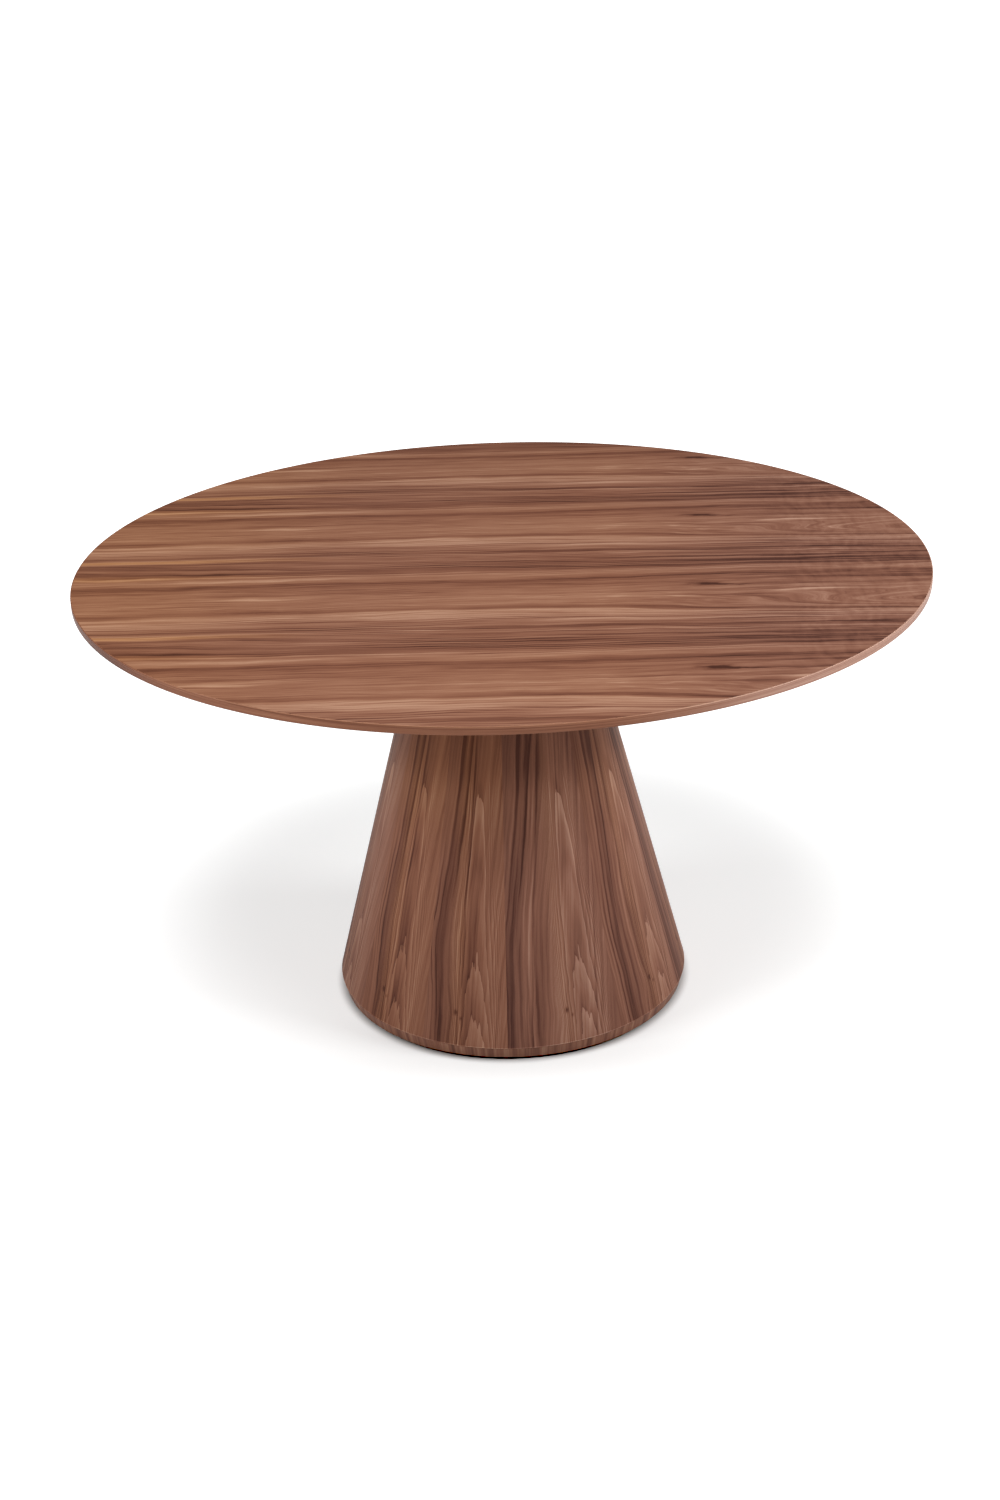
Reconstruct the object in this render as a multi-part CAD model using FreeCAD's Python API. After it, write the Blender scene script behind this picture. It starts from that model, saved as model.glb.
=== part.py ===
"""Round pedestal dining table: a veneered disc top bolted to a closed conical base.

Millimetres, +Z up. The origin is on the floor, on the axis of the base. The front of the table
is -Y, and the grain of the top runs along X. Each sub-part is written to parts/NAME.step.
"""

import FreeCAD, Part
import math
import os

UP = FreeCAD.Vector(0, 0, 1)
ORIGIN = FreeCAD.Vector(0, 0, 0)

# ---- driving dimensions ----
table_height = 762.0
top_diameter = 1372.0
top_thickness = 25.0
edge_height = 12.5  # the part of the thickness that shows: the underside is bevelled back
bevel_width = 48.0
veneer = 0.6
lipping = 1.5  # solid walnut round the edge
arris_radius = 0.8
top_leaf_width = 347.0
top_seam_y = 10.0  # the seam nearest the middle

floor_gap = 3.0  # between the floor and the plinth, with the feet at rest
plinth_height = 20.0
plinth_radius = 300.5  # at the top of the plinth, which is the foot of the cone
plinth_taper = 5.8  # how far the plinth's edge leans in towards the floor
cone_slope = 0.2584  # the cone's radius falls by this much for each mm of height
shell_thickness = 9.0
first_leaf_seam = -149.5  # degrees from +X
leaf_widths = (29, 28, 38, 33, 31, 35, 30, 33, 36, 32, 35)  # degrees: leaves are cut to fit

plate_thickness = 5.0
plate_radius = 220.0
head_thickness = 30.0
former_thickness = 18.0
former_heights = (250.0, 480.0)
former_depth = 75.0
rib_count = 6
rib_thickness = 18.0
rib_depth = 55.0
ballast_radius = 205.0
ballast_thickness = 12.0

bolt_radius = 4.0  # M8
bolt_circle = 200.0
bolt_count = 6
clearance = 0.5  # of a bolt in its clearance hole, on the radius
insert_radius = 6.0
insert_length = 14.0
insert_bore_length = 16.0
bolt_tip_gap = 2.0  # between the bolt's tip and the insert's blind end
washer_radius = 8.0
washer_thickness = 1.6
washer_play = 0.2  # of the bolt in the washer, on the radius
bolt_head_flats = 13.0
bolt_head_height = 5.3

# countersunk screws: (radius, length, head radius), and the circle they lie on
plate_screw = (3.0, 28.0, 6.0)
plate_screw_circle = 75.0
rib_head_screw = (2.5, 60.0, 5.0)
rib_head_circle = 92.0
rib_foot_screw = (2.5, 50.0, 5.0)
rib_foot_circle = 255.0
ballast_screw = (4.0, 28.0, 8.0)
ballast_screw_circle = 150.0
ballast_screw_count = 4

leveller_circle = 262.0
pad_radius = 19.0
pad_height = 6.0
pad_floor = 2.0  # under the stem's flange
pad_edge_radius = 1.0
flange_radius = 8.0
flange_thickness = 2.0
stem_radius = 4.0  # M8
stem_length = 42.0
running_gap = 0.05
pocket_radius = 22.0
pocket_roof = 12.0  # above the floor
nut_barrel_radius = 5.0
nut_flange_radius = 11.0
nut_flange_thickness = 1.5
nut_foot_gap = 0.5  # from the nut's lower end to the pocket's roof
key_flats = 5.0
key_depth = 3.0

# ---- heights that follow ----
top_underside = table_height - top_thickness
cone_foot = floor_gap + plinth_height
cone_head = top_underside - plate_thickness
head_underside = cone_head - head_thickness
top_radius = top_diameter / 2
core_radius = top_radius - lipping
edge_bottom = table_height - edge_height
flat_radius = top_radius - bevel_width  # of the flat part of the underside
bevel_skin = veneer / math.cos(math.atan2(top_thickness - edge_height, bevel_width))  # measured upright
lean = math.atan(cone_slope)
leaf_starts = [first_leaf_seam + sum(leaf_widths[:i]) for i in range(len(leaf_widths))]
leveller_angles = {"front_left": 225, "front_right": 315, "back_right": 45, "back_left": 135}


# ---- shapes ----
def revolved(profile, start=0.0, sweep=360.0):
    """A solid turned about Z from (radius, height) points, from the angle start through sweep."""
    points = [FreeCAD.Vector(r, 0, z) for r, z in profile]
    face = Part.Face(Part.makePolygon(points + points[:1]))
    face.rotate(ORIGIN, UP, start)
    return face.revolve(ORIGIN, UP, sweep)


def disc(radius, bottom, height):
    return Part.makeCylinder(radius, height, FreeCAD.Vector(0, 0, bottom))


def hexagon(flats, bottom, height):
    """A hexagonal prism about Z, by its width across flats."""
    corner = flats / math.sqrt(3)
    turns = [math.radians(60 * i) for i in range(7)]
    points = [FreeCAD.Vector(corner * math.cos(a), corner * math.sin(a), bottom) for a in turns]
    return Part.Face(Part.makePolygon(points)).extrude(UP * height)


def placed(shape, radius, angle, height=0.0):
    """A copy of the shape, moved out along X, up, and round Z."""
    copy = shape.copy()
    copy.translate(FreeCAD.Vector(radius, 0, height))
    copy.rotate(ORIGIN, UP, angle)
    return copy


def ring_of(shape, radius, count, start=0.0, height=0.0):
    """Copies of the shape, evenly spaced on a circle, as one compound of separate solids."""
    step = 360.0 / count
    return Part.makeCompound([placed(shape, radius, start + step * i, height) for i in range(count)])


def countersunk_screw(radius, length, head_radius):
    """A screw whose flat head is at z = 0 and whose shank points down."""
    slope = head_radius - radius
    profile = [(0, 0), (head_radius, 0), (radius, -slope), (radius, -length), (0, -length)]
    return revolved(profile)


def cone_radius(height, depth=0.0):
    """The cone's radius at a height, at a depth under its outer surface."""
    return plinth_radius - cone_slope * (height - cone_foot) - depth / math.cos(lean)


def cone_layer(outer_depth, inner_depth, start=0.0, sweep=360.0):
    """A layer of the cone's wall, from the plinth to the head."""
    profile = [
        (cone_radius(cone_foot, outer_depth), cone_foot),
        (cone_radius(cone_head, outer_depth), cone_head),
        (cone_radius(cone_head, inner_depth), cone_head),
        (cone_radius(cone_foot, inner_depth), cone_foot),
    ]
    return revolved(profile, start, sweep)


def write(name, shape):
    shape.exportStep("parts/" + name + ".step")


# ---- the top ----
def top_core(inserts):
    """The board: bevelled underneath, with blind bores for the inserts."""
    bottom = top_underside + veneer
    profile = [
        (0, bottom),
        (flat_radius, bottom),
        (core_radius, edge_bottom + bevel_skin),
        (core_radius, table_height - veneer),
        (0, table_height - veneer),
    ]
    bore = disc(insert_radius, bottom, insert_bore_length)
    return revolved(profile).cut(ring_of(bore, bolt_circle, bolt_count)).cut(inserts)


def top_face_veneer():
    """Leaves laid side by side along X, one seam to the next."""
    sheet = disc(core_radius, table_height - veneer, veneer)
    leaves = []
    for i in (-2, -1, 0, 1):
        strip = Part.makeBox(
            top_diameter,
            top_leaf_width,
            top_thickness,
            FreeCAD.Vector(-top_radius, top_seam_y + i * top_leaf_width, top_underside),
        )
        leaves.append(sheet.common(strip).Solids[0])
    return Part.makeCompound(leaves)


def top_back_veneer():
    return disc(flat_radius, top_underside, veneer).cut(
        ring_of(disc(insert_radius, top_underside, veneer), bolt_circle, bolt_count)
    )


def top_bevel_veneer():
    """The skin on the bevel under the rim."""
    profile = [
        (flat_radius, top_underside),
        (core_radius, edge_bottom),
        (core_radius, edge_bottom + bevel_skin),
        (flat_radius, top_underside + veneer),
    ]
    return revolved(profile)


def top_edge_band():
    """The lipping: a thin hoop with its two outer arrises rounded."""
    hoop = disc(top_radius, edge_bottom, edge_height)
    hoop = hoop.cut(disc(core_radius, edge_bottom, edge_height))
    rims = [e for e in hoop.Edges if e.BoundBox.XMax > core_radius + arris_radius / 2]
    outer = [e for e in rims if e.BoundBox.ZLength < 0.01]
    return hoop.makeFillet(arris_radius, outer)


def top_inserts():
    """Threaded sleeves let into the board, flush with its underside."""
    sleeve = disc(insert_radius, top_underside, insert_length)
    return ring_of(sleeve.cut(disc(bolt_radius, top_underside, insert_length)), bolt_circle, bolt_count)


# ---- what joins the top to the base ----
def mounting_plate(plate_screws):
    holes = ring_of(disc(bolt_radius + clearance, cone_head, plate_thickness), bolt_circle, bolt_count)
    return disc(plate_radius, cone_head, plate_thickness).cut(holes).cut(plate_screws)


def top_bolts():
    """Hexagon bolts, put in from below, outside the cone's head."""
    head_top = cone_head - washer_thickness
    head = hexagon(bolt_head_flats, head_top - bolt_head_height, bolt_head_height)
    shank_top = top_underside + insert_length - bolt_tip_gap
    bolt = head.fuse(disc(bolt_radius, head_top, shank_top - head_top))
    return ring_of(bolt, bolt_circle, bolt_count)


def top_washers():
    low = cone_head - washer_thickness
    washer = disc(washer_radius, low, washer_thickness)
    washer = washer.cut(disc(bolt_radius + washer_play, low, washer_thickness))
    return ring_of(washer, bolt_circle, bolt_count)


def plate_screws():
    """Countersunk screws through the plate into the head disc, between the ribs."""
    screw = countersunk_screw(*plate_screw)
    return ring_of(screw, plate_screw_circle, rib_count, 180.0 / rib_count, top_underside)


# ---- the base ----
def cone_wall_inside():
    """The space inside the cone's wall."""
    depth = veneer + shell_thickness
    profile = [
        (0, cone_foot),
        (cone_radius(cone_foot, depth), cone_foot),
        (cone_radius(cone_head, depth), cone_head),
        (0, cone_head),
    ]
    return revolved(profile)


def head_disc(screws):
    """Closes the cone's head, inside the wall."""
    blank = disc(plinth_radius, head_underside, head_thickness)
    return blank.common(cone_wall_inside()).cut(screws)


def shell_half(start):
    """Half of the bent plywood wall, jointed on the ribs at each side."""
    return cone_layer(veneer, veneer + shell_thickness, start, 180.0)


def cone_veneer():
    """Tapered leaves, each as high as the cone."""
    leaves = [cone_layer(0, veneer, start, width) for start, width in zip(leaf_starts, leaf_widths)]
    return Part.makeCompound(leaves)


def ribs():
    """Upright boards that lean in with the wall, from the plinth to the head disc."""
    foot = cone_radius(cone_foot)
    head = cone_radius(head_underside)
    wall = veneer + shell_thickness
    points = [
        (foot, cone_foot),
        (head, head_underside),
        (head - wall - rib_depth, head_underside),
        (foot - wall - rib_depth, cone_foot),
    ]
    corners = [FreeCAD.Vector(x, -rib_thickness / 2, z) for x, z in points]
    board = Part.Face(Part.makePolygon(corners + corners[:1]))
    board = board.extrude(FreeCAD.Vector(0, rib_thickness, 0)).common(cone_wall_inside())
    return ring_of(board, 0.0, rib_count)


def former(height, upright_boards):
    """A ring inside the wall, notched round the ribs."""
    ring = disc(plinth_radius, height, former_thickness).common(cone_wall_inside())
    middle = cone_radius(height) - former_depth
    ring = ring.cut(disc(middle, height, former_thickness))
    return ring.cut(upright_boards)


def head_screws():
    """From the head disc down into the top of each rib."""
    return ring_of(countersunk_screw(*rib_head_screw), rib_head_circle, rib_count, 0.0, cone_head)


def plinth_screws():
    """From under the plinth disc up into the foot of each rib."""
    screw = countersunk_screw(*rib_foot_screw)
    screw.rotate(ORIGIN, FreeCAD.Vector(1, 0, 0), 180)
    return ring_of(screw, rib_foot_circle, rib_count, 0.0, floor_gap)


def plinth_profile(depth):
    """(radius, height) of the plinth's leaning edge, top and bottom, at a depth under it."""
    return [
        (plinth_radius - depth, cone_foot),
        (plinth_radius - plinth_taper - depth, floor_gap),
    ]


def plinth_disc(cutters):
    blank = revolved([(0, cone_foot)] + plinth_profile(lipping) + [(0, floor_gap)])
    pocket = disc(pocket_radius, floor_gap, pocket_roof - floor_gap)
    bore = disc(nut_barrel_radius, pocket_roof, cone_foot - pocket_roof)
    for angle in leveller_angles.values():
        blank = blank.cut(placed(pocket.fuse(bore), leveller_circle, angle))
    for cutter in cutters:
        blank = blank.cut(cutter)
    return blank


def plinth_edge_band():
    """Short strips round the plinth, jointed under the cone's seams."""
    profile = plinth_profile(0) + plinth_profile(lipping)[::-1]
    strips = [revolved(profile, start, width) for start, width in zip(leaf_starts, leaf_widths)]
    return Part.makeCompound(strips)


def ballast_plate(screws):
    return disc(ballast_radius, cone_foot, ballast_thickness).cut(screws)


def ballast_screws():
    """Through the ballast plate into the plinth disc."""
    screw = countersunk_screw(*ballast_screw)
    head = cone_foot + ballast_thickness
    return ring_of(screw, ballast_screw_circle, ballast_screw_count, 0.0, head)


# ---- the levelling feet ----
def leveller_nuts():
    """Flanged nuts pushed down through the plinth disc. Each thread is a plain bore."""
    low = pocket_roof + nut_foot_gap
    nut = disc(nut_barrel_radius, low, cone_foot - low)
    nut = nut.fuse(disc(nut_flange_radius, cone_foot, nut_flange_thickness))
    nut = nut.cut(disc(stem_radius + running_gap, low, cone_foot + nut_flange_thickness - low))
    return Part.makeCompound([placed(nut, leveller_circle, a) for a in leveller_angles.values()])


def leveller_stem():
    """A screw with a round flange that turns in the pad, and a key socket in its lower end."""
    stem = disc(flange_radius, pad_floor, flange_thickness)
    stem = stem.fuse(disc(stem_radius, pad_floor, stem_length))
    stem = stem.removeSplitter()
    return stem.cut(hexagon(key_flats, pad_floor, key_depth))


def leveller_pad():
    """A glide that holds the stem's flange in a groove, open below for the key."""
    groove_top = pad_floor + flange_thickness + running_gap
    pad = disc(pad_radius, 0, pad_height)
    lower_edge = [e for e in pad.Edges if e.BoundBox.ZMax < 0.01 and e.BoundBox.XLength > pad_radius]
    pad = pad.makeFillet(pad_edge_radius, lower_edge)
    pad = pad.cut(disc(stem_radius + running_gap, 0, pad_height))
    return pad.cut(disc(flange_radius + running_gap, pad_floor, groove_top - pad_floor))


# ---- make and write every piece ----
os.makedirs("parts", exist_ok=True)

inserts = top_inserts()
write("top_core", top_core(inserts))
write("top_face_veneer", top_face_veneer())
write("top_back_veneer", top_back_veneer())
write("top_bevel_veneer", top_bevel_veneer())
write("top_edge_band", top_edge_band())
write("top_inserts", inserts)

into_head = plate_screws()
into_rib_heads = head_screws()
into_rib_feet = plinth_screws()
through_ballast = ballast_screws()
write("mounting_plate", mounting_plate(into_head))
write("top_bolts", top_bolts())
write("top_washers", top_washers())
write("plate_screws", into_head)

boards = ribs()
write("head_disc", head_disc([into_head, into_rib_heads]))
write("shell_front", shell_half(180.0))
write("shell_back", shell_half(0.0))
write("cone_veneer", cone_veneer())
write("lower_former", former(former_heights[0], boards))
write("upper_former", former(former_heights[1], boards))
write("ribs", boards.cut([into_rib_heads, into_rib_feet]))
write("head_screws", into_rib_heads)
write("plinth_screws", into_rib_feet)
write("plinth_disc", plinth_disc([into_rib_feet, through_ballast]))
write("plinth_edge_band", plinth_edge_band())
write("ballast_plate", ballast_plate(through_ballast))
write("ballast_screws", through_ballast)

write("leveller_nuts", leveller_nuts())
stem = leveller_stem()
pad = leveller_pad()
for place, angle in leveller_angles.items():
    write("leveller_stem_" + place, placed(stem, leveller_circle, angle))
    write("leveller_pad_" + place, placed(pad, leveller_circle, angle))
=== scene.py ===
"""The looks of a round walnut pedestal table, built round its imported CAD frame.

Metres, +Z up, origin on the floor under the middle of the table. The front is -Y.
Inside the materials lengths are in millimetres, as a joiner would give them.
"""

import math

import bpy
from mathutils import Matrix, Vector


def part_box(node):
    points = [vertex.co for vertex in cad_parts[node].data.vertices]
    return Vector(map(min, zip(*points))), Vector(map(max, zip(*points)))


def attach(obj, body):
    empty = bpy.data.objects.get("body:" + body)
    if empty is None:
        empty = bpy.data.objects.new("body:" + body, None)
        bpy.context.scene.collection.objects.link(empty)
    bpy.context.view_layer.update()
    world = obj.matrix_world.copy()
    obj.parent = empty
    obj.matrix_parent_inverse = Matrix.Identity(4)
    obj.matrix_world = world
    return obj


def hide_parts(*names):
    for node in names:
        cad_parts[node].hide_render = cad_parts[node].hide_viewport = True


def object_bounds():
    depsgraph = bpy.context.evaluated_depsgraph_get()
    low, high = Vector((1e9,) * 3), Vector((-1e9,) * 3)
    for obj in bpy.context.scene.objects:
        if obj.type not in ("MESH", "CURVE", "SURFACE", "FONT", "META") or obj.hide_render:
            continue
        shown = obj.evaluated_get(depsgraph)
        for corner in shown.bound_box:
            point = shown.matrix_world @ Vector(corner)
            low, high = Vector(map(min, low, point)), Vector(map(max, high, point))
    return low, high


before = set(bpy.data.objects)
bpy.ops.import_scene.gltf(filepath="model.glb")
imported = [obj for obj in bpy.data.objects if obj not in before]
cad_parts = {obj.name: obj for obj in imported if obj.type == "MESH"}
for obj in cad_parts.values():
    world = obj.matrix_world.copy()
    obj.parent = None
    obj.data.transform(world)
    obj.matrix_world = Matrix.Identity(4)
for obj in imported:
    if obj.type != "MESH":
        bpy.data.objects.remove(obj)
cad_low, cad_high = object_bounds()

MM = 0.001

# ---- sizes read from the frame ----
face_low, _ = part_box("top_face_veneer")
edge_low, edge_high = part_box("top_edge_band")
cone_low, cone_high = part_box("cone_veneer")
plinth_low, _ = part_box("plinth_edge_band")

table_height = cad_high.z
lipping = 1.5 * MM
top_radius = round(edge_high.x, 3)
core_radius = top_radius - lipping
veneer = table_height - face_low.z
cone_foot = cone_low.z
cone_head = cone_high.z
cone_foot_radius = 300.5 * MM
cone_slope = 0.2584
plinth_foot_radius = 294.7 * MM
plinth_foot = plinth_low.z

top_leaf = 347.0  # mm, the width of a leaf of the top's veneer
top_seam = 10.0  # mm, where the seam nearest the middle lies
first_leaf_seam = -59.5  # degrees round the cone from the front, towards +X
leaf_widths = (29, 28, 38, 33, 31, 35, 30, 33, 36, 32, 35)  # degrees
leaf_seams = [first_leaf_seam + sum(leaf_widths[:i]) for i in range(len(leaf_widths))]

air_light = 0.06  # how brightly the studio's white air lights the table


# ---- arithmetic on shader sockets ----
def feed(tree, value, socket):
    """Links a field to a socket, or sets the socket to a plain value."""
    if isinstance(value, Field):
        tree.links.new(value.socket, socket)
    else:
        socket.default_value = value


class Field:
    """A value that varies over a surface, with ordinary arithmetic."""

    def __init__(self, tree, socket):
        self.tree = tree
        self.socket = socket

    def math(self, operation, *values):
        node = self.tree.nodes.new("ShaderNodeMath")
        node.operation = operation
        for socket, value in zip(node.inputs, values):
            feed(self.tree, value, socket)
        return Field(self.tree, node.outputs[0])

    def __add__(self, other):
        return self.math("ADD", self, other)

    def __sub__(self, other):
        return self.math("SUBTRACT", self, other)

    def __mul__(self, other):
        return self.math("MULTIPLY", self, other)

    def __truediv__(self, other):
        return self.math("DIVIDE", self, other)

    def __rsub__(self, other):
        return self.math("SUBTRACT", other, self)

    def __neg__(self):
        return self.math("MULTIPLY", self, -1.0)

    __radd__ = __add__
    __rmul__ = __mul__

    def floor(self):
        return self.math("FLOOR", self)

    def fraction(self):
        return self.math("FRACT", self)

    def size(self):
        return self.math("ABSOLUTE", self)

    def above(self, limit):
        return self.math("GREATER_THAN", self, limit)

    def root(self):
        return self.math("SQRT", self)

    def power(self, exponent):
        return self.math("POWER", self, exponent)

    def at_least(self, other):
        return self.math("MAXIMUM", self, other)

    def at_most(self, other):
        return self.math("MINIMUM", self, other)

    def cosine(self):
        return self.math("COSINE", self)

    def bump(self, centre, width):
        """A hill of height 1: it falls to a third at one width from the centre."""
        offset = (self - centre) / width
        return self.math("EXPONENT", -(offset * offset))

    def rise(self, low, high):
        """0 up to low, 1 from high on, and smooth between."""
        node = self.tree.nodes.new("ShaderNodeMapRange")
        node.interpolation_type = "SMOOTHSTEP"
        feed(self.tree, self, node.inputs["Value"])
        feed(self.tree, low, node.inputs["From Min"])
        feed(self.tree, high, node.inputs["From Max"])
        return Field(self.tree, node.outputs[0])


def noise(x, y, z=0.0, detail=2.0, roughness=0.5):
    """Smooth noise from about -1 to 1, at a place given in cells."""
    tree = x.tree
    place = tree.nodes.new("ShaderNodeCombineXYZ")
    for socket, value in zip(place.inputs, (x, y, z)):
        feed(tree, value, socket)
    node = tree.nodes.new("ShaderNodeTexNoise")
    node.inputs["Scale"].default_value = 1.0
    node.inputs["Detail"].default_value = detail
    node.inputs["Roughness"].default_value = roughness
    tree.links.new(place.outputs[0], node.inputs["Vector"])
    return Field(tree, node.outputs["Fac"]) * 3.0 - 1.5


def srgb(red, green, blue):
    """A colour on the usual 0 to 255 scale, as the linear colour that shaders use."""
    parts = [c / 255 for c in (red, green, blue)]
    return [c / 12.92 if c <= 0.04045 else ((c + 0.055) / 1.055) ** 2.4 for c in parts] + [1.0]


def ramp(field, stops, smooth="LINEAR"):
    """A colour for each value of the field, from (value, colour) stops."""
    node = field.tree.nodes.new("ShaderNodeValToRGB")
    node.color_ramp.interpolation = smooth
    points = node.color_ramp.elements
    for point, (value, colour) in zip(points, (stops[0], stops[-1])):
        point.position = value
        point.color = colour
    for value, colour in stops[1:-1]:
        points.new(value).color = colour
    field.tree.links.new(field.socket, node.inputs["Fac"])
    return Field(field.tree, node.outputs["Color"])


def curve(field, stops):
    """A number for each value of the field, from (value, number) stops."""
    grey = [(value, (number, number, number, 1.0)) for value, number in stops]
    return ramp(field, grey, "EASE")


def blend(amount, colour, other):
    """Mixes two colours by an amount from 0 to 1."""
    node = colour.tree.nodes.new("ShaderNodeMix")
    node.data_type = "RGBA"
    for index, value in ((0, amount), (6, colour), (7, other)):
        feed(colour.tree, value, node.inputs[index])
    return Field(colour.tree, node.outputs[2])


class Finish:
    """A material: its shader, and the place on the object in millimetres."""

    def __init__(self, name, **settings):
        self.material = bpy.data.materials.new(name)
        self.material.use_nodes = True
        self.tree = self.material.node_tree
        self.shader = self.tree.nodes["Principled BSDF"]
        for socket, value in settings.items():
            self.shader.inputs[socket.replace("_", " ")].default_value = value

    def place(self):
        """The X, Y and Z fields, in millimetres."""
        coordinates = self.tree.nodes.new("ShaderNodeTexCoord")
        parts = self.tree.nodes.new("ShaderNodeSeparateXYZ")
        self.tree.links.new(coordinates.outputs["Object"], parts.inputs[0])
        return [Field(self.tree, socket) / MM for socket in parts.outputs]

    def wear(self, colour, roughness, height, depth_mm):
        """Sets the varying colour and roughness, and relief of a depth from height 0 to 1."""
        feed(self.tree, colour, self.shader.inputs["Base Color"])
        feed(self.tree, roughness, self.shader.inputs["Roughness"])
        relief = self.tree.nodes.new("ShaderNodeBump")
        relief.inputs["Distance"].default_value = depth_mm * MM
        relief.inputs["Strength"].default_value = 1.0
        feed(self.tree, height, relief.inputs["Height"])
        self.tree.links.new(relief.outputs["Normal"], self.shader.inputs["Normal"])
        return self.material


# ---- walnut ----
WALNUT = [
    (0.00, srgb(76, 42, 30)),
    (0.15, srgb(105, 62, 46)),
    (0.30, srgb(122, 76, 57)),
    (0.50, srgb(140, 92, 70)),
    (0.70, srgb(154, 106, 82)),
    (0.85, srgb(167, 120, 95)),
    (1.00, srgb(186, 142, 116)),
]
GOLDEN = [(0.0, srgb(108, 60, 30)), (0.5, srgb(164, 108, 64)), (1.0, srgb(208, 154, 104))]
PLUM = [(0.0, srgb(76, 46, 40)), (0.5, srgb(140, 98, 83)), (1.0, srgb(190, 152, 136))]


def walnut_colour(tone, gold, plum):
    """Heartwood from dark, at tone 0, to pale, at 1, with golden and plum tints."""
    colour = blend(gold, ramp(tone, WALNUT), ramp(tone, GOLDEN))
    return blend(plum, colour, ramp(tone, PLUM))


def fibres(along, across, slice_of_log):
    """Fine lines along the grain and pores, both as a change of tone and as relief."""
    lines = noise(along / 260.0, across / 3.2, slice_of_log, detail=3.0, roughness=0.65)
    hairs = noise(along / 50.0, across / 0.8, slice_of_log, detail=2.0)
    pores = noise(along / 7.0, across / 0.45, slice_of_log, detail=1.0).rise(0.3, 0.8)
    return lines * 0.16 + hairs * 0.07 - pores * 0.08, 0.5 + lines * 0.2 + hairs * 0.2 - pores * 0.5


def growth_rings(along, across, spacing, slice_of_log):
    """Darker lines that build up and then stop short, each with its own strength: 0 to 1."""
    place = (across + noise(along / 240.0, across / 40.0, slice_of_log) * spacing * 0.5) / spacing
    strength = noise(place.floor() * 0.73, along / 380.0, slice_of_log).rise(-0.5, 0.7)
    return place.fraction().rise(0.3, 0.9) * place.fraction().rise(1.0, 0.93) * strength


# tone across one leaf of the top's veneer, from its far seam to its near one, in mm
TOP_LEAF = [
    (0, 0.46), (14, 0.50), (26, 0.42), (36, 0.44), (43, 0.28), (53, 0.44), (60, 0.30), (66, 0.22),
    (72, 0.42), (79, 0.64), (97, 0.70), (105, 0.56), (113, 0.24), (121, 0.34), (132, 0.44),
    (152, 0.55), (182, 0.65), (222, 0.66), (232, 0.58), (240, 0.32), (247, 0.54), (254, 0.82),
    (276, 0.80), (292, 0.68), (308, 0.62), (318, 0.42), (324, 0.26), (330, 0.46), (336, 0.64),
    (342, 0.48), (347, 0.46),
]


def top_marks(along, across, log):
    """What lies in one place of each leaf of the top: an eye, a feather, a streak and dashes."""
    ragged = across + noise(along / 14.0, across / 9.0, log) * 4.0
    from_eye = along - 345.0
    eye = from_eye.bump(0.0, 20.0) * ragged.bump(157.0, 7.0) * 0.8
    eye = eye + from_eye.bump(25.0, 40.0) * (ragged - from_eye * 0.14).bump(158.0, 3.5) * 0.6
    eye = eye + from_eye.bump(-20.0, 24.0) * (ragged + from_eye * 0.12).bump(151.0, 3.5) * 0.5

    slanted = across + (along - 505.0) * 0.08 + noise(along / 24.0, across / 6.0, log)
    feather = along.rise(420.0, 455.0) * along.rise(590.0, 480.0) * slanted.bump(188.0, 3.4)
    streak = along.bump(-370.0, 55.0) * across.bump(178.0, 5.5)
    shade = along.bump(-330.0, 75.0) * ragged.bump(236.0, 8.0)
    dashes = noise(along / 52.0, across / 4.6, log + 5.0).rise(0.1, 0.6)
    dashes = dashes * along.bump(290.0, 150.0) * across.bump(205.0, 36.0)
    return feather * 0.5 + streak * 0.24 + dashes * 0.26 - eye * 0.7 - shade * 0.2


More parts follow.
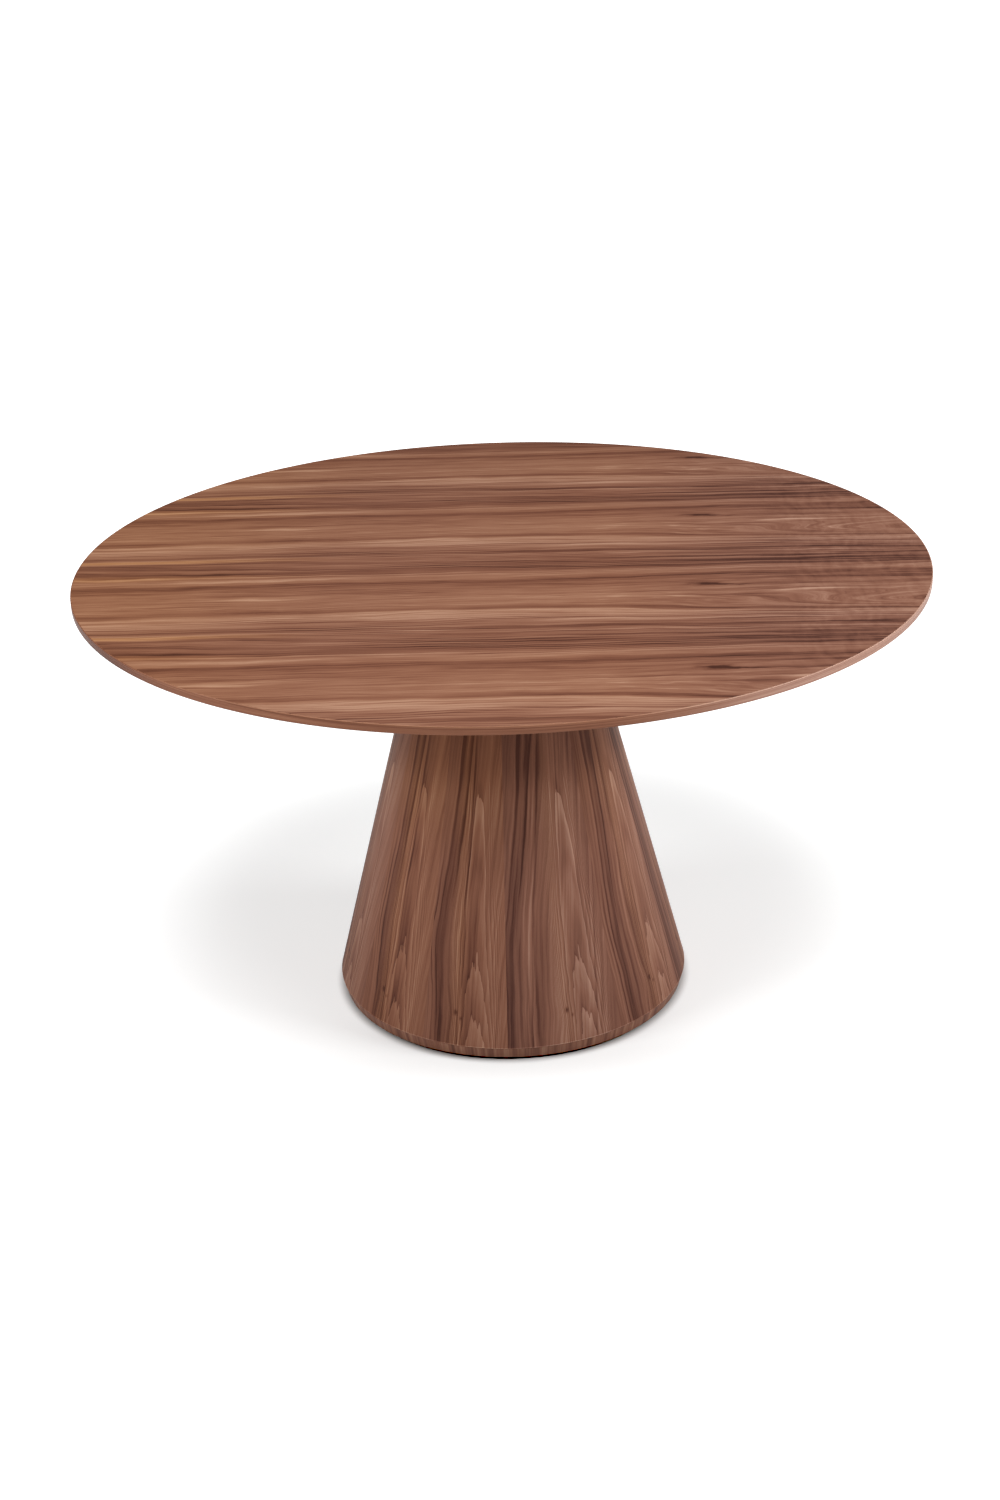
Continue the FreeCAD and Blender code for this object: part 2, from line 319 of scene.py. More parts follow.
def top_walnut():
    """Slip-matched leaves, grain along X: each nearer leaf lies a little further to the left."""
    finish = Finish("walnut_top", Specular_IOR_Level=0.25)
    x, y, _ = finish.place()
    leaf = ((y - top_seam) / top_leaf).floor()
    across = top_seam + top_leaf * (leaf + 1.0) - y
    along = x - leaf * 20.0
    log = leaf * 0.16 + 3.0

    near_seam = ((across - 15.0) * (math.tau / top_leaf)).cosine() * 0.5 + 0.5
    near_seam = near_seam.power(4.0)
    fall = along * (0.012 + near_seam * 0.04)
    drop = along.at_least(0.0).power(2.0) * across.bump(265.0, 38.0) * 0.0002
    sway = noise(along / 400.0, across / 150.0, log) * 7.0
    sway = sway + noise(along / 120.0, across / 45.0, log) * 4.5
    across = across - fall - drop + sway
    across = across - (across / top_leaf).floor() * top_leaf
    seam_side = across.at_most(top_leaf - across)

    striped = seam_side.rise(110.0, 40.0)
    right = along.rise(150.0, 520.0)
    left = along.rise(-200.0, -600.0)
    tone = curve(across / top_leaf, [(mm / top_leaf, value) for mm, value in TOP_LEAF]) + 0.11
    bands = noise(along / 460.0, across / 10.0, log, detail=3.0, roughness=0.65)
    tone = tone + bands * (0.20 + striped * 0.18)
    tone = tone - growth_rings(along, across, 8.5, log) * (0.24 + striped * 0.34)
    tone = tone - growth_rings(along + 170.0, across, 21.0, log + 2.0) * (0.22 + right * 0.2)
    tone = tone + noise(along / 110.0, across / 26.0, log) * 0.07
    tone = tone + noise(along / 48.0, across / 4.5, log) * (1.0 - striped) * (0.10 + right * 0.06)
    fine, relief = fibres(along, across, log)
    tone = tone + fine * (1.55 + right * 0.3) + top_marks(along, across, log)
    curl = noise(along / 13.0 + noise(along / 90.0, across / 50.0), across / 60.0, log)
    # Darker towards the right end (right * 0.14): painted shade. The curl there is the wood's figure.
    tone = tone - right * 0.14 + curl * along.rise(380.0, 540.0) * 0.13

    gold_line = seam_side.bump(3.0, 6.0)
    gold = left * (0.2 + gold_line * 0.8 + across.bump(76.0, 7.0) * 0.4)
    tone = tone + left * (gold_line * 0.32 + across.bump(76.0, 6.0) * 0.12 - 0.06)
    colour = walnut_colour(tone, gold, right * 0.4 + striped * 0.15)
    gloss = 0.45 + noise(along / 90.0, across / 12.0, log) * 0.05
    return finish.wear(colour, gloss, relief, 0.03)


def round_the_base(x, y):
    """Degrees round the table from the front, from the first leaf's seam: 0 to 360."""
    angle = x.math("ARCTAN2", x, -y) * math.degrees(1) - first_leaf_seam
    return angle - (angle / 360.0).floor() * 360.0


def by_leaf(passed, values):
    """The value that belongs to the leaf, from fields that say which seams lie behind it."""
    total = passed[0] * (values[1] - values[0]) + values[0]
    for step, before, after in zip(passed[1:], values[1:], values[2:]):
        total = total + step * (after - before)
    return total


# the tone across one leaf of the cone's veneer, in degrees from its left seam
CONE_LEAF = [
    (0, 0.46), (0.9, 0.46), (1.8, 0.14), (2.7, 0.32), (3.9, 0.22), (5.2, 0.36), (6.4, 0.24), (7.3, 0.34),
    (7.9, 0.56), (9, 0.44), (9.8, 0.58), (10.8, 0.48), (11.6, 0.16), (12.6, 0.32), (14, 0.40), (16, 0.46),
    (19, 0.56), (22, 0.52), (26, 0.50), (30, 0.54), (34, 0.48), (38, 0.42),
]
# degrees from the left seam to the crown of the figure
CROWNS = (16.5, 17, 26, 23, 19, 21, 18, 20, 23, 19, 21)
# how plum each leaf is, from 0 to 1
PLUMS = (0.05, 0.2, 0.55, 0.35, 0.4, 0.2, 0.6, 0.3, 0.7, 0.5, 0.4)
# how the stripes by the left seam lean, in degrees a metre, how far they turn at the foot, and
# how early they start, both in degrees
LEANS = (10, 24, 32, 13, -8, 20, 5, 30, -5, 15, 8)
BOWS = (2.4, 2.4, 0.5, 2.0, 1.0, 2.0, 0.5, 1.5, 2.5, 1.0, 2.0)
STARTS = (-2.5, 0, 2, -2, 0, 1, -1, 0, -2, 1, 0)


def cone_arches(side, z, log):
    """The change of tone of nested arches, one above the other, by degrees from their crown."""
    top_arch = 427.0
    step = 272.0
    upper = z.rise(230.0, 310.0)
    width = 4.2 + z.rise(40.0, 200.0) * 0.6 - side.rise(0.5, -0.5) * 0.6
    rings = (z - top_arch) / step + 1.0 - (155.0 - z).at_least(0.0) * 0.0075
    rings = rings + (side.size() / width).power(2.5 + upper * 0.8)
    rings = rings + noise(side / 2.6, z / 90.0, log) * (0.10 - upper * 0.06)
    rings = rings + noise(side / 0.7, z / 50.0, log) * (0.02 + z.rise(300.0, 150.0) * 0.15)
    rings = rings + side.bump(7.2, 2.4) * z.bump(396.0, 15.0) * 0.55
    inside = rings.fraction()
    arches = inside.rise(0.1, 0.85) * (0.26 - upper * 0.18) - inside.rise(0.14, 0.0) * 0.14
    arches = arches + inside.rise(0.78, 0.92) * (0.08 + upper * 0.16)
    arches = arches - inside.bump(0.62, 0.08) * upper * 0.14
    figured = side.size().rise(13.0, 7.0) * z.rise(470.0, 440.0)
    return (arches - 0.12 + upper * 0.07) * figured


def cone_walnut():
    """Tapered upright leaves: dark stripes by the left seam, then a crown of nested arches."""
    finish = Finish("walnut_cone", Specular_IOR_Level=0.12)
    x, y, z = finish.place()
    angle = round_the_base(x, y)
    seams = [seam - first_leaf_seam for seam in leaf_seams[1:]]
    passed = [angle.above(seam) for seam in seams]
    from_seam = angle - by_leaf(passed, [0.0] + seams)
    crown = by_leaf(passed, CROWNS)
    log = by_leaf(passed, [0.13 * i for i in range(len(leaf_widths))]) + 7.0
    foot = cone_foot / MM
    mm_per_degree = (cone_foot_radius / MM - (z - foot) * cone_slope) * math.radians(1)

    sway = noise(from_seam / 14.0, z / 170.0, log) * 0.8 + noise(from_seam / 5.0, z / 60.0, log) * 0.35
    risen = (z - 150.0).at_least(0.0)
    lean = by_leaf(passed, LEANS) * risen * risen / (risen + 120.0) * MM
    lean = lean + by_leaf(passed, BOWS) * z.rise(210.0, 50.0)
    stripes = from_seam + by_leaf(passed, STARTS) - lean * (from_seam - crown).rise(2.0, -7.0) + sway
    from_knot = (from_seam - crown + 6.2) * 5.0
    stripes = stripes + from_knot * from_knot.bump(0.0, 14.0) * z.bump(74.0, 30.0) * 0.10
    widest = CONE_LEAF[-1][0]
    tone = curve(stripes / widest, [(degrees / widest, value) for degrees, value in CONE_LEAF]) + 0.03
    side = from_seam - crown + sway
    # Darker from 410 mm up, just under the top's rim: painted shade.
    tone = tone + cone_arches(side, z, log) - z.rise(410.0, 480.0) * 0.18

    lateral = from_seam * mm_per_degree
    across = stripes * mm_per_degree
    banded = stripes.rise(15.0, 11.0)
    bands = noise(across / 9.0, z / 420.0, log, detail=3.0, roughness=0.65)
    tone = tone + bands * (0.18 + banded * 0.1)
    tone = tone - growth_rings(z, across, 8.5, log) * (0.18 + banded * 0.2)
    tone = tone + noise(lateral / 24.0, z / 150.0, log) * 0.08
    fine, relief = fibres(z, across, log)
    pin = from_knot.bump(0.0, 2.6) * z.bump(77.0, 4.0)
    pin = pin + from_knot.bump(9.0, 2.0) * z.bump(68.0, 3.0) * 0.6
    # A paler line along the bottom 1.8 mm of the cone, at its eased foot: a painted highlight.
    foot_highlight = z.rise(foot + 1.8, foot + 0.6)
    striped = stripes.rise(13.0, 4.0) * z.rise(420.0, 250.0)
    tone = tone + fine * 1.1 - pin * 0.6 + foot_highlight * 0.35 - striped * 0.05
    gold = side.bump(-6.0, 3.0) * 0.2 + z.rise(300.0, 480.0) * 0.3
    colour = walnut_colour(tone, gold, by_leaf(passed, PLUMS) + striped * 0.08)
    gloss = 0.50 + noise(lateral / 12.0, z / 90.0, log) * 0.05
    return finish.wear(colour, gloss, relief, 0.03)


def plinth_walnut():
    """Short strips with the grain upright, redder and darker than the cone."""
    finish = Finish("walnut_plinth", Specular_IOR_Level=0.2)
    x, y, z = finish.place()
    lateral = round_the_base(x, y) * math.radians(1) * plinth_foot_radius / MM
    tone = 0.42 + noise(lateral / 15.0, z / 500.0, 2.0) * 0.5
    tone = tone + noise(lateral / 5.0, z / 300.0, 5.0) * 0.34
    fine, relief = fibres(z, lateral, 11.0)
    # Darker along the strips' top edge, under the overhanging foot of the cone: a painted shadow line.
    shadow_line_under_cone = z.rise(cone_foot / MM - 1.6, cone_foot / MM)
    colour = walnut_colour(tone + fine - shadow_line_under_cone * 0.2, 0.1 + noise(lateral / 60.0, 0.5) * 0.1, 0.3)
    return finish.wear(colour, 0.46 + fine * 0.2, relief, 0.03)


def edge_walnut():
    """The lipping: grain runs round the rim, and the arrises are paler. Its right-hand stretch is paler and
    pinker, a painted highlight, and its left-hand stretch darker, painted shade.
    """
    finish = Finish("walnut_edge", Specular_IOR_Level=0.1)
    x, y, z = finish.place()
    around = x.math("ARCTAN2", x, -y) * (top_radius / MM)
    height = z - edge_low.z / MM
    # Painted light: pale makes the right-hand stretch of the lipping paler and pinker, a painted highlight,
    # and dark makes the left-hand stretch darker, painted shade.
    pale = around.rise(100.0, 420.0) * around.rise(1900.0, 1200.0)
    dark = around.rise(-500.0, -700.0) * around.rise(-1900.0, -1200.0)
    tone = 0.42 + pale * 0.3 - dark * 0.3
    tone = tone + noise(around / 420.0, height / 3.4, 4.0, detail=3.0) * 0.28
    tone = tone + noise(around / 900.0, height / 1.3, 9.0) * 0.24
    fine, relief = fibres(around, height, 6.0)
    thickness = (edge_high.z - edge_low.z) / MM
    arris = height.rise(thickness - 1.3, thickness - 0.4) + height.rise(0.7, 0.1) * 0.4
    # The arrises are paler all round; their extra paleness on the right is painted highlight.
    tone = tone + fine + arris * (0.3 + pale * 0.6)
    colour = walnut_colour(tone, 0.12 + noise(around / 500.0, 0.3, 2.0) * 0.1, 0.15 + pale * 0.7)
    return finish.wear(colour, 0.38 + fine * 0.2, relief, 0.03)


def back_walnut():
    """Plain walnut backing veneer, rubbed matt."""
    finish = Finish("walnut_back", Specular_IOR_Level=0.3)
    x, y, _ = finish.place()
    tone = 0.36 + noise(x / 900.0, y / 18.0, 1.0, detail=3.0) * 0.22
    tone = tone + noise(x / 200.0, y / 60.0, 2.0) * 0.10
    fine, relief = fibres(x, y, 3.0)
    colour = walnut_colour(tone + fine, 0.15 + fine * 0.2, 0.1)
    return finish.wear(colour, 0.55 + fine * 0.3, relief, 0.05)


# ---- the materials that don't show from the front ----
def fibreboard():
    """Raw board: felted short fibres with darker chips."""
    finish = Finish("fibreboard", Specular_IOR_Level=0.2)
    x, y, z = finish.place()
    felt = noise(x / 1.8, y / 1.8, z / 0.9, detail=4.0, roughness=0.7)
    chips = noise(x / 5.0, y / 5.0, z / 2.0, detail=1.0).rise(0.35, 0.6)
    tone = 0.5 + felt * 0.35 - chips * 0.3
    colour = ramp(tone, [(0.0, srgb(112, 84, 58)), (0.5, srgb(163, 130, 95)), (1.0, srgb(196, 166, 130))])
    return finish.wear(colour, 0.85 + felt * 0.08, tone, 0.08)


def plywood():
    """Bent plywood: upright grain on its faces and thin glue lines through its thickness."""
    finish = Finish("plywood", Specular_IOR_Level=0.25)
    x, y, z = finish.place()
    radius = (x * x + y * y).root() + z * cone_slope
    around = x.math("ARCTAN2", x, -y) * 250.0
    grain = noise(around / 3.0, z / 260.0, 1.0, detail=3.0, roughness=0.6)
    plies = (radius / 1.5).fraction().rise(0.9, 1.0)
    tone = 0.55 + grain * 0.3 - plies * 0.35
    colour = ramp(tone, [(0.0, srgb(140, 104, 70)), (0.5, srgb(196, 160, 118)), (1.0, srgb(222, 192, 152))])
    return finish.wear(colour, 0.7 + grain * 0.06, tone, 0.06)


def powder_coat():
    """Black powder coat: a fine orange peel and a little dust."""
    finish = Finish("powder_coat", Specular_IOR_Level=0.45)
    x, y, z = finish.place()
    peel = noise(x / 0.9, y / 0.9, z / 0.9, detail=2.0)
    dust = noise(x / 40.0, y / 40.0, z / 40.0, detail=3.0)
    tone = 0.4 + peel * 0.2 + dust * 0.25
    colour = ramp(tone, [(0.0, srgb(22, 22, 23)), (1.0, srgb(52, 51, 50))])
    return finish.wear(colour, 0.52 + dust * 0.08, 0.5 + peel * 0.5, 0.03)


def turned_metal(name, dark, light, roughness):
    """Plated or turned metal: fine marks of the tool and small stains."""
    finish = Finish(name, Metallic=1.0)
    x, y, z = finish.place()
    marks = noise(x / 2.2, y / 2.2, z / 0.12, detail=2.0)
    stains = noise(x / 9.0, y / 9.0, z / 9.0, detail=3.0)
    colour = ramp(0.55 + marks * 0.18 + stains * 0.25, [(0.0, dark), (1.0, light)])
    return finish.wear(colour, roughness + stains * 0.08 + marks * 0.04, 0.5 + marks * 0.5, 0.01)


def moulded_nylon():
    """Black nylon: a satin spark-eroded grain, scuffed where it meets the floor."""
    finish = Finish("nylon", Specular_IOR_Level=0.45)
    x, y, z = finish.place()
    grain = noise(x / 0.5, y / 0.5, z / 0.5, detail=2.0)
    scuffs = z.rise(1.5, 0.0) * noise(x / 1.2, y / 6.0, 0.0, detail=2.0).rise(0.0, 0.5)
    colour = ramp(0.3 + grain * 0.2 + scuffs * 0.4, [(0.0, srgb(20, 20, 21)), (1.0, srgb(70, 70, 70))])
    return finish.wear(colour, 0.5 + scuffs * 0.2, 0.5 + grain * 0.5, 0.02)


# ---- meshes ----
def piece(name, vertices, faces, material, node, body="table"):
    """A closed mesh that stands for a CAD node and rides on a body."""
    mesh = bpy.data.meshes.new(name)
    mesh.from_pydata(vertices, [], faces)
    mesh.materials.append(material)
    mesh.shade_smooth()
    mesh.set_sharp_from_angle(angle=math.radians(35))
    made = bpy.data.objects.new(name, mesh)
    bpy.context.scene.collection.objects.link(made)
    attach(made, body)
    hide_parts(node)
    return made


def turned(profile, segments, start=0.0, sweep=360.0):
    """Vertices and faces of a closed (radius, height) profile, turned about Z from the front.

    The profile runs anticlockwise as seen with the radius to the right and the height up.
    """
    whole = sweep == 360.0
    columns = segments if whole else segments + 1
    corners = len(profile)
    vertices = []
    for column in range(columns):
        angle = math.radians(start + sweep * column / segments)
        vertices += [(r * math.sin(angle), -r * math.cos(angle), z) for r, z in profile]
    faces = []
    for column in range(segments):
        here = column * corners
        there = (column + 1) % columns * corners
        for corner in range(corners):
            after = (corner + 1) % corners
            faces.append((here + corner, there + corner, there + after, here + after))
    if not whole:
        last = (columns - 1) * corners
        faces.append(tuple(range(corners))[::-1])
        faces.append(tuple(last + corner for corner in range(corners)))
    return vertices, [face[::-1] for face in faces]


def quarter(centre_radius, centre_height, size, start, steps=5):
    """Points on a quarter circle in a profile, from an angle in degrees, anticlockwise."""
    angles = [math.radians(start + 90 * i / steps) for i in range(steps + 1)]
    return [(centre_radius + size * math.cos(a), centre_height + size * math.sin(a)) for a in angles]


def face_leaves(material):
    """The four leaves of the top's face, each a flat strip of the disc."""
    for i in (-2, -1, 0, 1):
        near = max(-core_radius, (top_seam + i * top_leaf) * MM)
        far = min(core_radius, (top_seam + (i + 1) * top_leaf) * MM)
        steps = 96
        shares = [0.5 - 0.5 * math.cos(math.pi * k / steps) for k in range(steps + 1)]
        sides = [near + (far - near) * share for share in shares]
        right = [(math.sqrt(max(0.0, core_radius**2 - y * y)), y) for y in sides]
        left = [(-x, y) for x, y in reversed(right)]
        outline = [p for k, p in enumerate(right + left) if p[0] or k in (0, steps)]
        count = len(outline)
        vertices = [(x, y, table_height - veneer) for x, y in outline]
        vertices += [(x, y, table_height) for x, y in outline]
        faces = [tuple(range(count))[::-1], tuple(range(count, 2 * count))]
        faces += [(k, (k + 1) % count, count + (k + 1) % count, count + k) for k in range(count)]
        piece(f"face_leaf_{i + 3}", vertices, faces, material, "top_face_veneer")


def edge_hoop(material):
    """The lipping, with its two outer arrises rounded."""
    arris = 0.8 * MM
    low, high = edge_low.z, edge_high.z
    profile = [(core_radius, low)]
    profile += quarter(top_radius - arris, low + arris, arris, -90)
    profile += quarter(top_radius - arris, high - arris, arris, 0)
    profile += [(core_radius, high)]
    vertices, faces = turned(profile, 360)
    piece("edge_hoop", vertices, faces, material, "top_edge_band")


def cone_leaves(material):
    """One tapered leaf of veneer for each width in the list, its foot eased."""
    wall = veneer / math.cos(math.atan(cone_slope))
    ease = 0.35 * MM
    head_radius = cone_foot_radius - cone_slope * (cone_head - cone_foot)
    steps = 12
    outer = [
        (
            cone_foot_radius + (head_radius - cone_foot_radius) * k / steps,
            cone_foot + (cone_head - cone_foot) * k / steps,
        )
        for k in range(1, steps + 1)
    ]
    foot = [(cone_foot_radius - wall, cone_foot), (cone_foot_radius - ease, cone_foot)]
    foot += [(cone_foot_radius - cone_slope * ease, cone_foot + ease)]
    profile = foot + outer + [(head_radius - wall, cone_head)]
    for i, (start, width) in enumerate(zip(leaf_seams, leaf_widths)):
        vertices, faces = turned(profile, width, start, width)
        piece(f"cone_leaf_{i + 1}", vertices, faces, material, "cone_veneer")


def plinth_strips(material):
    """Strips round the plinth, leaning in to the floor."""
    thickness = 1.5 * MM
    profile = [
        (plinth_foot_radius - thickness, plinth_foot),
        (plinth_foot_radius, plinth_foot),
        (cone_foot_radius - 0.4 * MM, cone_foot - 0.8 * MM),
        (cone_foot_radius - 0.9 * MM, cone_foot),
        (cone_foot_radius - thickness, cone_foot),
    ]
    for i, (start, width) in enumerate(zip(leaf_seams, leaf_widths)):
        vertices, faces = turned(profile, width, start, width)
        piece(f"plinth_strip_{i + 1}", vertices, faces, material, "plinth_edge_band")


# ---- fastenings ----
def wrapped(rings):
    """Vertices and faces of a solid from closed rings of points, each end closed by its ring."""
    columns = len(rings[0])
    vertices = [point for ring in rings for point in ring]
    faces = [tuple(range(columns))[::-1]]
    for low in range(0, len(vertices) - columns, columns):
        for k in range(columns):
            after = (k + 1) % columns
            faces.append((low + k, low + after, low + columns + after, low + columns + k))
    faces.append(tuple(range(len(vertices) - columns, len(vertices))))
    return vertices, faces


TURNS = [math.radians(10 * k) for k in range(36)]  # where every ring has its points


def ring_of(radius_at, height):
    """A closed ring of points, by the radius at each angle."""
    return [(radius_at(a) * math.cos(a), radius_at(a) * math.sin(a), height) for a in TURNS]


def round_ring(radius, height):
    return ring_of(lambda a: radius, height)


def hexagon_ring(flats, height):
    """A hexagon by its width across flats."""
    return ring_of(lambda a: flats / 2 / math.cos(a % math.radians(60) - math.radians(30)), height)


def star_ring(radius, height):
    """A recess with six lobes."""
    return ring_of(lambda a: radius * (1 + 0.13 * math.cos(6 * a)), height)


def thread_rings(crest, depth, pitch, low, high):
    """A right-handed thread, run out over one turn at each end."""
    rows = int((high - low) / pitch * 6)
    rings = []
    for row in range(rows + 1):
        z = low + (high - low) * row / rows
        cut = depth * min(1.0, (z - low) / pitch, (high - z) / pitch)
        rings.append(ring_of(lambda a: crest - cut * abs(2 * ((z / pitch - a / math.tau) % 1.0) - 1), z))
    return rings


M8_RADIUS = 4.0 * MM
M8_PITCH = 1.25 * MM
M8_THREAD_DEPTH = 0.6 * MM
M8_TIP = 0.8 * MM  # how much the tip is chamfered


def m8_thread(low, high):
    """An M8 thread from low up to a chamfered tip at high."""
    rings = thread_rings(M8_RADIUS, M8_THREAD_DEPTH, M8_PITCH, low, high - M8_TIP)
    return rings + [round_ring(M8_RADIUS - M8_TIP, high)]


def moved(vertices, radius, angle):
    """Points moved out along X and round Z, by an angle in degrees from +X."""
    turn = Matrix.Rotation(math.radians(angle), 4, "Z") @ Matrix.Translation((radius, 0, 0))
    return [tuple(turn @ Vector(point)) for point in vertices]


def middle(node):
    """How far from Z a node's box has its middle, and the angle there in degrees from +X."""
    low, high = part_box(node)
    centre = (low + high) / 2
    return math.hypot(centre.x, centre.y), math.degrees(math.atan2(centre.y, centre.x))


def leveller_stems(material):
    """M8 screws with a round flange below, and a hexagonal socket for a key."""
    places = [node.removeprefix("leveller_stem_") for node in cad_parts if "stem" in node]
    low, high = (corner.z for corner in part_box("leveller_stem_" + places[0]))
    key_flats = 5 * MM
    key_depth = 3 * MM
    flange = 8 * MM
    flange_top = low + 2 * MM
    ease = 0.3 * MM
    rings = [hexagon_ring(key_flats, low + key_depth), hexagon_ring(key_flats, low + ease)]
    rings += [hexagon_ring(key_flats + 2 * ease, low), round_ring(flange - ease, low)]
    rings += [round_ring(flange, low + ease), round_ring(flange, flange_top - ease)]
    rings += [round_ring(flange - ease, flange_top)]
    vertices, faces = wrapped(rings + m8_thread(flange_top, high))
    for place in places:
        node = "leveller_stem_" + place
        there = moved(vertices, *middle(node))
        piece("stem_" + place, there, faces, material, node, "screw_" + place)


def top_bolts(material):
    """M8 hexagon bolts on a circle, heads down, with their corners chamfered."""
    circle = 200 * MM
    count = 6
    flats = 13 * MM
    chamfer = 0.7 * MM
    shank = 2.5 * MM
    low, high = (corner.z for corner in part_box("top_bolts"))
    head_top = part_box("top_washers")[0].z
    rings = [round_ring(flats * 0.46, low), hexagon_ring(flats, low + chamfer)]
    rings += [hexagon_ring(flats, head_top), round_ring(M8_RADIUS, head_top)]
    rings += [round_ring(M8_RADIUS, head_top + shank)]
    vertices, faces = wrapped(rings + m8_thread(head_top + shank + 0.5 * MM, high))
    for i in range(count):
        there = moved(vertices, circle, 360 * i / count)
        piece(f"bolt_{i + 1}", there, faces, material, "top_bolts")


def wood_screws(material, node, radius, head_radius, circle, count, start=0.0, from_below=False):
    """Countersunk screws with six-lobed recesses, evenly spaced on a circle: sizes in mm."""
    low, high = (corner.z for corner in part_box(node))
    length = high - low
    radius, head_radius = radius * MM, head_radius * MM
    rim = 0.1 * MM  # the thin straight edge of the head
    cone_end = head_radius - radius
    shank_end = cone_end + 1.5 * MM
    point = length - 2.5 * radius
    rings = [star_ring(radius * 0.8, radius * 1.1), star_ring(radius * 0.85, 0.0)]
    rings += [round_ring(head_radius - rim, 0.0), round_ring(head_radius, rim)]
    rings += [round_ring(radius, cone_end), round_ring(radius, shank_end)]
    rings += thread_rings(radius, radius * 0.3, radius * 0.8, shank_end + rim, point)
    rings += [round_ring(radius * 0.75, point + 2 * rim), round_ring(radius * 0.1, length)]
    vertices, faces = wrapped(rings)
    for i in range(count):
        there = moved(vertices, circle * MM, start + 360 * i / count)
        if from_below:
            there = [(x, y, low + z) for x, y, z in there]
        else:
            there = [(x, -y, high - z) for x, y, z in there]
        piece(f"{node}_{i + 1}", there, faces, material, node)


# ---- the stage ----
def seen_directly(tree):
    """1 where the camera sees the surface itself, 0 where the surface only lights others."""
    return Field(tree, tree.nodes.new("ShaderNodeLightPath").outputs["Is Camera Ray"])


def floor_finish():
    """White paper that glows a little, so that only the table's shadow shows on it, and that shadow is
    partly painted: the glow fades out at the plinth's foot as a painted contact shadow, dips in front of
    the plinth as painted shade, and rises past a ring round a point behind the table, which paints the
    outline of the table's shadow.

    It lights the table less than it shows. It is clear from below and lights the plinth's
    underside, so that a view from there isn't blocked or black.
    """
    finish = Finish("floor_paper", Roughness=0.9, Specular_IOR_Level=0.0)
    x, y, _ = finish.place()
    fibre = noise(x / 3.0, y / 3.0, detail=3.0)
    shade = ramp(0.5 + fibre * 0.5, [(0.0, (0.60, 0.613, 0.615, 1)), (1.0, (0.62, 0.633, 0.635, 1))])
    feed(finish.tree, shade, finish.shader.inputs["Base Color"])
    foot = plinth_foot_radius / MM
    behind = y - 280.0
    from_middle = (x * x + y * y).root()
    from_shade = (x * x + behind * behind).root()
    # Painted shade: front_shade dims the glow in front of the plinth, the glow fades to nothing at the
    # plinth's foot, and from_shade brightens it past a ring round a point behind the table.
    front_shade = y.bump(-290.0, 110.0) * x.bump(0.0, 430.0)
    glow = from_middle.rise(foot - 4.0, foot + 18.0) * 0.575 + from_shade.rise(440.0, 950.0) * 0.3
    glow = glow + from_middle.rise(900.0, 3000.0) * 0.6 - front_shade * 0.21
    under_plinth = from_middle.rise(foot - 10.0, foot - 30.0) * 0.7
    lit = seen_directly(finish.tree)
    glow = glow * (0.4 + lit * 0.6) + under_plinth * (1.0 - lit)
    finish.shader.inputs["Emission Color"].default_value = (0.995, 1, 1, 1)
    feed(finish.tree, glow, finish.shader.inputs["Emission Strength"])

    facing = finish.tree.nodes.new("ShaderNodeNewGeometry")
    clear = finish.tree.nodes.new("ShaderNodeBsdfTransparent")
    mixed = finish.tree.nodes.new("ShaderNodeMixShader")
    finish.tree.links.new(facing.outputs["Backfacing"], mixed.inputs[0])
    finish.tree.links.new(finish.shader.outputs[0], mixed.inputs[1])
    finish.tree.links.new(clear.outputs[0], mixed.inputs[2])
    finish.tree.links.new(mixed.outputs[0], finish.tree.nodes["Material Output"].inputs["Surface"])
    return finish.material


def studio_air():
    """A white background for the camera, which lights the table less than it shows."""
    world = bpy.data.worlds.new("studio")
    world.use_nodes = True
    tree = world.node_tree
    background = tree.nodes["Background"]
    background.inputs["Color"].default_value = (1.0, 1.0, 1.0, 1)
    strength = seen_directly(tree) * (1.0 - air_light) + air_light
    feed(tree, strength, background.inputs["Strength"])
    bpy.context.scene.world = world


def soft_box(name, azimuth, elevation, distance, size, light):
    """A square light that faces the table, round from the front by the azimuth, in degrees.

    The light is what it gives a white sheet that faces it by the table, where 1 is plain white.
    """
    lamp = bpy.data.lights.new(name, "AREA")
    lamp.size = size
    lamp.energy = light * (math.pi * distance) ** 2
    box = bpy.data.objects.new(name, lamp)
    turn, up = math.radians(azimuth), math.radians(elevation)
    away = Vector((math.sin(turn) * math.cos(up), -math.cos(turn) * math.cos(up), math.sin(up)))
    box.location = away * distance + Vector((0, 0, table_height / 2))
    box.rotation_euler = away.to_track_quat("Z", "Y").to_euler()
    bpy.context.scene.collection.objects.link(box)


def stage():
    """The floor and the light of a white studio."""
    half = 60.0
    mesh = bpy.data.meshes.new("floor")
    corners = [(-half, -half, 0), (half, -half, 0), (half, half, 0), (-half, half, 0)]
    mesh.from_pydata(corners, [], [(0, 1, 2, 3)])
    mesh.materials.append(floor_finish())
    floor = bpy.data.objects.new("floor", mesh)
    bpy.context.scene.collection.objects.link(floor)

    studio_air()
    soft_box("overhead", 0, 70, 9.0, 4.6, 0.53)
    soft_box("left_side", -68, 31, 5.0, 1.6, 0.48)
    soft_box("right_side", 75, 31, 5.0, 1.6, 0.62)
    bpy.context.scene.view_settings.view_transform = "Standard"


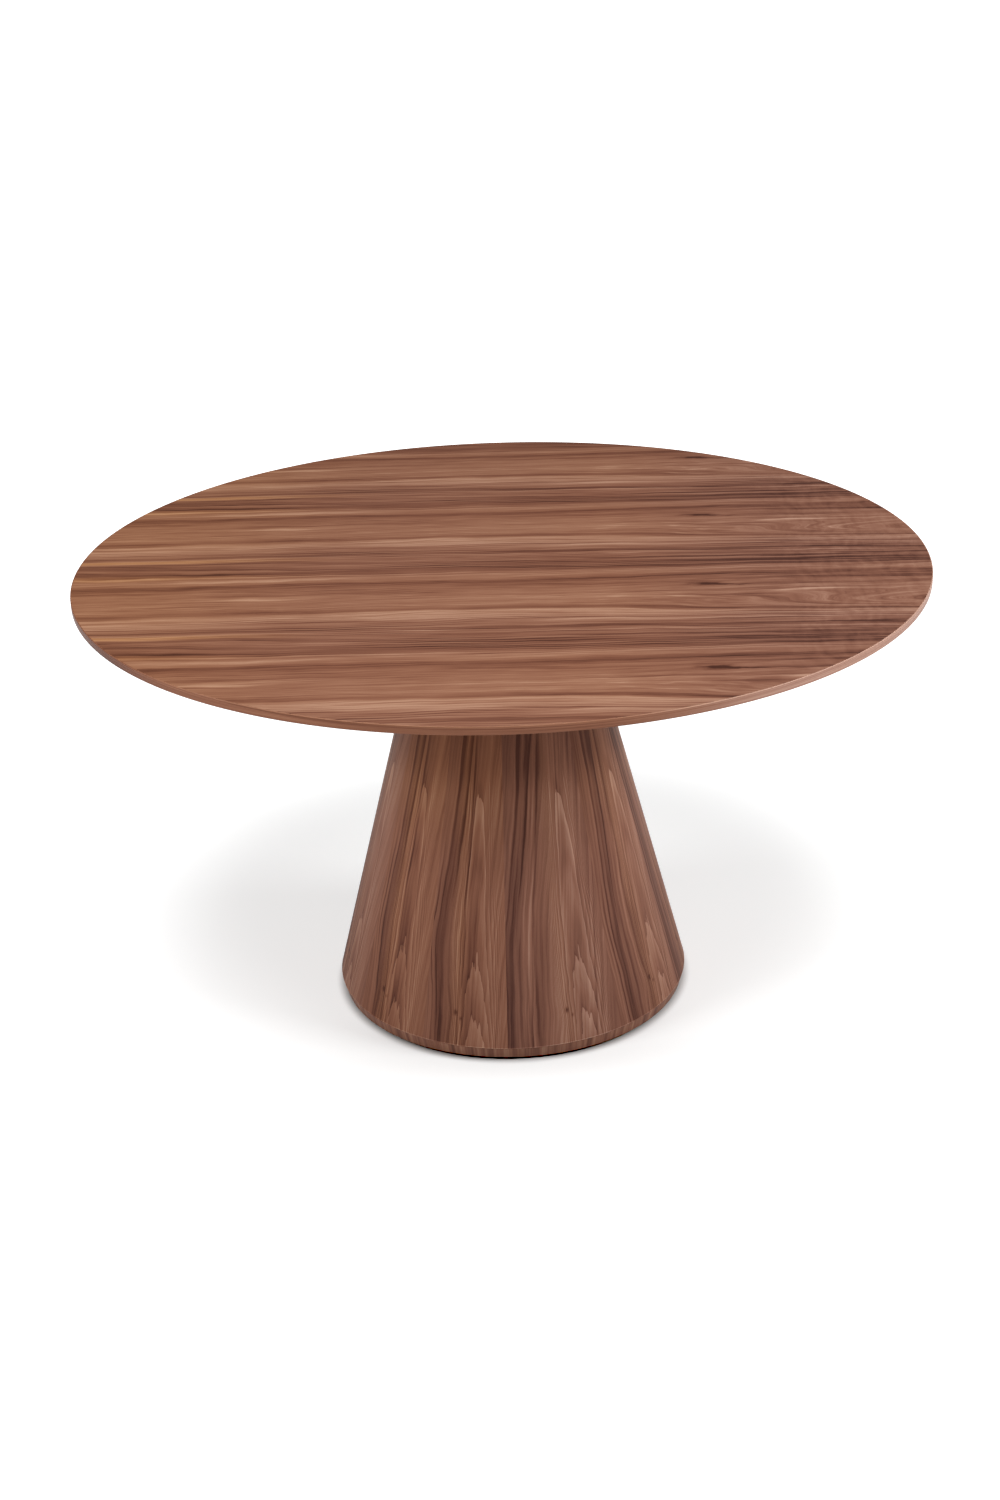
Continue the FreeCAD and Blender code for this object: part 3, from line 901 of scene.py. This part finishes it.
def camera():
    """A 50 mm view from a little above the table, turned very slightly on its axis."""
    pitch, roll, yaw = (math.radians(angle) for angle in (24.004, -1.864, -0.195))
    forward = Vector((math.sin(yaw) * math.cos(pitch), math.cos(yaw) * math.cos(pitch), -math.sin(pitch)))
    level = Vector((math.cos(yaw), -math.sin(yaw), 0))
    upright = level.cross(forward)
    right = level * math.cos(roll) + upright * math.sin(roll)
    up = upright * math.cos(roll) - level * math.sin(roll)
    data = bpy.data.cameras.new("camera")
    data.lens = 50.23
    data.sensor_width = 36.0
    made = bpy.data.objects.new("camera", data)
    turn = Matrix((right, up, -forward)).transposed()
    made.matrix_world = Matrix.Translation((0, -3.2162, 1.8548)) @ turn.to_4x4()
    bpy.context.scene.collection.objects.link(made)
    bpy.context.scene.camera = made


# ---- dress the frame ----
def dress(material, *nodes):
    """Gives CAD nodes whose shape is right their material."""
    for node in nodes:
        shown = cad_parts[node]
        shown.data.materials.clear()
        shown.data.materials.append(material)


face_leaves(top_walnut())
edge_hoop(edge_walnut())
cone_leaves(cone_walnut())
plinth_strips(plinth_walnut())
dress(back_walnut(), "top_back_veneer", "top_bevel_veneer")
dress(fibreboard(), "top_core", "head_disc", "lower_former", "upper_former", "ribs", "plinth_disc")
dress(plywood(), "shell_front", "shell_back")
dress(powder_coat(), "mounting_plate", "ballast_plate")
zinc = turned_metal("zinc", srgb(120, 121, 124), srgb(214, 215, 218), 0.34)
dress(zinc, "top_washers", "leveller_nuts")
leveller_stems(zinc)
top_bolts(zinc)
wood_screws(zinc, "plate_screws", 3.0, 6.0, 75, 6, start=30)
wood_screws(zinc, "head_screws", 2.5, 5.0, 92, 6)
wood_screws(zinc, "plinth_screws", 2.5, 5.0, 255, 6, from_below=True)
wood_screws(zinc, "ballast_screws", 4.0, 8.0, 150, 4)
dress(turned_metal("brass", srgb(140, 104, 48), srgb(226, 190, 118), 0.3), "top_inserts")
dress(moulded_nylon(), *[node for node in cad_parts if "pad" in node])

stage()
camera()
